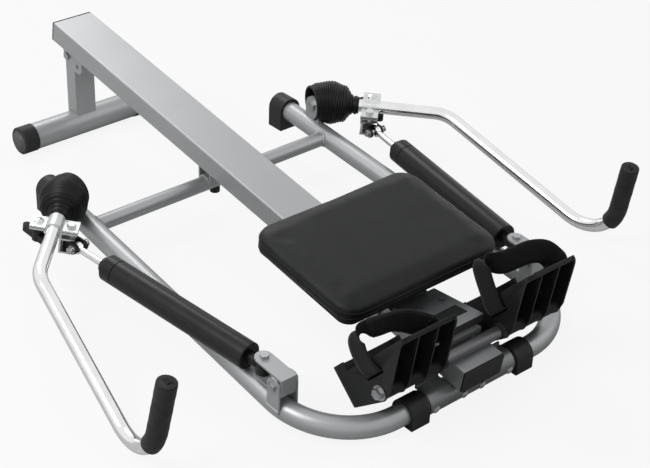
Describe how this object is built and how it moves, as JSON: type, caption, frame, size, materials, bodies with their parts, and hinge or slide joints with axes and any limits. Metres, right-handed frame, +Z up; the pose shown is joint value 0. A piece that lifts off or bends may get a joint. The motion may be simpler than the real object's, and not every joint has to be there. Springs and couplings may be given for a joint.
{
  "type": "rowing machine",
  "caption": "Home rowing machine: inclined rail, sliding padded seat, tilting pedals with straps, bent tube base and two free-swinging arms with damper cylinders.",
  "frame": {"origin": "middle of the footprint, on the floor", "axes": "+X to the rower's left when facing the pedals, which is the machine's right seen from its front bar, +Y from the pedals to the rear leg, +Z up"},
  "size_m": [0.9602, 1.0652, 0.2263],
  "materials": {
    "silver_paint": "silver-grey powder coat",
    "chrome": "polished",
    "zinc": "zinc plated",
    "steel": "bare bolts",
    "gloss_black": "gloss black",
    "black_plastic": "fine texture",
    "grey_plastic": "satin",
    "rubber": "soft",
    "foam": "closed cell foam",
    "webbing": "woven",
    "vinyl": "grained",
    "window": "clear over a grey display",
    "button_red": "moulded"
  },
  "bodies": {
    "frame": {"u_frame_tube": "silver_paint", "main_rail": "silver_paint", "rail_front_cap": "black_plastic", "rail_rear_cap": "black_plastic", "crossbar": "silver_paint", "support_bracket": "silver_paint", "support_cap_nut": "black_plastic", "front_saddle": "silver_paint", "saddle_rivets": "steel", "front_feet": "black_plastic", "rear_feet": "black_plastic", "leg_bracket": "silver_paint", "leg_bolt": "steel", "pedal_axle": "steel", "axle_nuts": "steel", "console_housing": "black_plastic", "console_lens": "window", "console_bracket": "silver_paint", "joint_brackets": "silver_paint", "joint_studs": "steel", "boot_right": "rubber", "boot_left": "rubber", "clevis_ears": "silver_paint", "ear_bolts": "steel"},
    "rear_leg": {"rear_post": "silver_paint", "stabiliser_tube": "silver_paint", "stabiliser_caps": "black_plastic"},
    "seat": {"seat_cushion": "vinyl", "seat_base": "black_plastic", "seat_carriage": "silver_paint"},
    "front_rollers": {"rollers_front": "black_plastic"},
    "rear_rollers": {"rollers_rear": "black_plastic"},
    "button": {"console_button": "button_red"},
    "swivel_right": {"swivel_fork_right": "zinc", "arm_clamp_right": "zinc"},
    "arm_right": {"arm_tube_right": "chrome", "arm_grip_right": "foam"},
    "knob_right": {"clamp_knob_right": "black_plastic"},
    "knuckle_right": {"knuckle_block_right": "black_plastic", "knuckle_pin_right": "steel"},
    "clevis_strap_right": {"clevis_right": "silver_paint", "clevis_bolt_right": "steel"},
    "damper_right": {"cylinder_right": "gloss_black"},
    "rod_right": {"piston_rod_right": "chrome"},
    "foot_pedal_right": {"pedal_right": "black_plastic", "strap_right": "webbing"},
    "swivel_left": {"swivel_fork_left": "zinc", "arm_clamp_left": "zinc"},
    "arm_left": {"arm_tube_left": "chrome", "arm_grip_left": "foam"},
    "knob_left": {"clamp_knob_left": "black_plastic"},
    "knuckle_left": {"knuckle_block_left": "black_plastic", "knuckle_pin_left": "steel"},
    "clevis_strap_left": {"clevis_left": "silver_paint", "clevis_bolt_left": "steel"},
    "damper_left": {"cylinder_left": "gloss_black"},
    "rod_left": {"piston_rod_left": "chrome"},
    "foot_pedal_left": {"pedal_left": "black_plastic", "strap_left": "webbing"}
  },
  "joints": [
    {"name": "leg_fold", "type": "hinge", "parent": "frame", "child": "rear_leg", "pos_m": [0, 0.5074, 0.16451], "axis": [-1, 0, 0], "range_deg": [0, 75]},
    {"name": "seat_slide", "type": "slide", "parent": "frame", "child": "seat", "axis": [0, 0.9896, 0.1442], "range_m": [0, 0.56]},
    {"name": "front_roller_turn", "type": "hinge", "parent": "seat", "child": "front_rollers", "pos_m": [0, -0.33975, 0.11023], "axis": [-1, 0, 0], "range_deg": [-5, 3230]},
    {"name": "rear_roller_turn", "type": "hinge", "parent": "seat", "child": "rear_rollers", "pos_m": [0, -0.24079, 0.12465], "axis": [-1, 0, 0], "range_deg": [-5, 3230]},
    {"name": "button_press", "type": "slide", "parent": "frame", "child": "button", "axis": [0, -0.0966, -0.9953], "range_m": [0, 0.0015], "stiffness_N_per_m": 400},
    {"name": "arm_swivel_right", "type": "hinge", "parent": "frame", "child": "swivel_right", "pos_m": [0.269, 0.1404, 0.131], "axis": [-0.082, -0.1159, 0.9899], "range_deg": [0, 40], "deforming": ["boot_right"]},
    {"name": "arm_roll_right", "type": "hinge", "parent": "swivel_right", "child": "arm_right", "pos_m": [0.32657, 0.07928, 0.12861], "axis": [-0.6854, 0.7276, 0.0284], "range_deg": [0, 40]},
    {"name": "knob_turn_right", "type": "hinge", "parent": "swivel_right", "child": "knob_right", "pos_m": [0.34548, 0.09734, 0.12219], "axis": [-0.082, -0.1159, 0.9899], "range_deg": [0, 180]},
    {"name": "knuckle_turn_right", "type": "hinge", "parent": "swivel_right", "child": "knuckle_right", "pos_m": [0.31054, 0.06528, 0.10039], "axis": [-0.082, -0.1159, 0.9899], "range_deg": [-46, 1]},
    {"name": "clevis_pitch_right", "type": "hinge", "parent": "frame", "child": "clevis_strap_right", "pos_m": [0.256, -0.3866, 0.0754], "axis": [1, 0, 0], "range_deg": [-0.5, 1.5]},
    {"name": "damper_yaw_right", "type": "hinge", "parent": "clevis_strap_right", "child": "damper_right", "pos_m": [0.256, -0.34411, 0.07852], "axis": [0, -0.0732, 0.9973], "range_deg": [-6, 1]},
    {"name": "rod_slide_right", "type": "slide", "parent": "damper_right", "child": "rod_right", "axis": [0.1383, 0.989, 0.0532], "range_m": [-0.001, 0.052]},
    {"name": "pedal_tilt_right", "type": "hinge", "parent": "frame", "child": "foot_pedal_right", "pos_m": [0.121, -0.4996, 0.08638], "axis": [1, 0, 0], "range_deg": [-4, 25]},
    {"name": "arm_swivel_left", "type": "hinge", "parent": "frame", "child": "swivel_left", "pos_m": [-0.269, 0.1404, 0.131], "axis": [-0.082, 0.1159, -0.9899], "range_deg": [0, 40], "deforming": ["boot_left"]},
    {"name": "arm_roll_left", "type": "hinge", "parent": "swivel_left", "child": "arm_left", "pos_m": [-0.32657, 0.07928, 0.12861], "axis": [-0.6854, -0.7276, -0.0284], "range_deg": [0, 40]},
    {"name": "knob_turn_left", "type": "hinge", "parent": "swivel_left", "child": "knob_left", "pos_m": [-0.34548, 0.09734, 0.12219], "axis": [-0.082, 0.1159, -0.9899], "range_deg": [0, 180]},
    {"name": "knuckle_turn_left", "type": "hinge", "parent": "swivel_left", "child": "knuckle_left", "pos_m": [-0.31054, 0.06528, 0.10039], "axis": [-0.082, 0.1159, -0.9899], "range_deg": [-46, 1]},
    {"name": "clevis_pitch_left", "type": "hinge", "parent": "frame", "child": "clevis_strap_left", "pos_m": [-0.256, -0.3866, 0.0754], "axis": [1, 0, 0], "range_deg": [-0.5, 1.5]},
    {"name": "damper_yaw_left", "type": "hinge", "parent": "clevis_strap_left", "child": "damper_left", "pos_m": [-0.256, -0.34411, 0.07852], "axis": [0, 0.0732, -0.9973], "range_deg": [-6, 1]},
    {"name": "rod_slide_left", "type": "slide", "parent": "damper_left", "child": "rod_left", "axis": [-0.1383, 0.989, 0.0532], "range_m": [-0.001, 0.052]},
    {"name": "pedal_tilt_left", "type": "hinge", "parent": "frame", "child": "foot_pedal_left", "pos_m": [-0.121, -0.4996, 0.08638], "axis": [1, 0, 0], "range_deg": [-4, 25]}
  ],
  "couplings": [
    {"joint": "front_roller_turn", "follows": "seat_slide", "rad_per_m": 100},
    {"joint": "rear_roller_turn", "follows": "seat_slide", "rad_per_m": 100},
    {"joint": "knuckle_turn_right", "follows": "arm_swivel_right", "ratio": -1.1068},
    {"joint": "clevis_pitch_right", "follows": "arm_swivel_right", "ratio": 0.0179},
    {"joint": "damper_yaw_right", "follows": "arm_swivel_right", "ratio": -0.10685},
    {"joint": "rod_slide_right", "follows": "arm_swivel_right", "m_per_rad": 0.071136},
    {"joint": "knuckle_turn_left", "follows": "arm_swivel_left", "ratio": -1.1068},
    {"joint": "clevis_pitch_left", "follows": "arm_swivel_left", "ratio": 0.0179},
    {"joint": "damper_yaw_left", "follows": "arm_swivel_left", "ratio": -0.10685},
    {"joint": "rod_slide_left", "follows": "arm_swivel_left", "m_per_rad": 0.071136}
  ]
}
